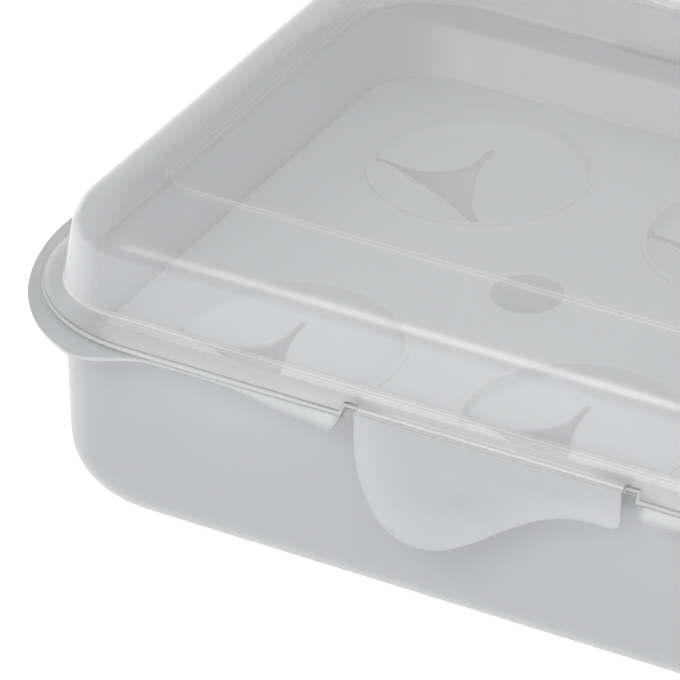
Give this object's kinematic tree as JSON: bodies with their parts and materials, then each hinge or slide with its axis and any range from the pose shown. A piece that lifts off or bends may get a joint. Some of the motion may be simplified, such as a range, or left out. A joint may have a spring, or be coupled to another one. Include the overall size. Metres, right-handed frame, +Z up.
{
  "type": "egg storage box",
  "caption": "Hinged translucent plastic egg box with wide end grips, a lobed front clasp and a lift-out tray of petalled cups.",
  "frame": {"origin": "centre of the tub's flat underside, on the plane the box stands on", "axes": "+X along the box's length, -Y towards the clasp, +Y towards the rear hinge, +Z up"},
  "size_m": [0.216, 0.1478, 0.0672],
  "materials": {
    "tub_plastic": "milky translucent moulded polypropylene, satin",
    "lid_plastic": "milky translucent moulded polypropylene, smoother and slightly glossy",
    "clasp_plastic": "milky translucent moulded polypropylene, slightly glossy",
    "tray_plastic": "milky translucent moulded polypropylene, satin"
  },
  "bodies": {
    "base": {"base_tub": "tub_plastic"},
    "lid": {"lid": "lid_plastic"},
    "clasp": {"front_clasp": "clasp_plastic"},
    "tray": {"egg_tray": "tray_plastic"}
  },
  "joints": [
    {"name": "lid_hinge", "type": "hinge", "parent": "base", "child": "lid", "pos_m": [0, 0.0735, 0.0429], "axis": [-1, 0, 0], "range_deg": [0, 180]},
    {"name": "clasp_hinge", "type": "hinge", "parent": "lid", "child": "clasp", "pos_m": [0, -0.071, 0.0443], "axis": [-1, 0, 0], "range_deg": [0, 110]},
    {"name": "tray_lift", "type": "slide", "parent": "base", "child": "tray", "axis": [0, 0, 1], "range_m": [0, 0.014]}
  ]
}
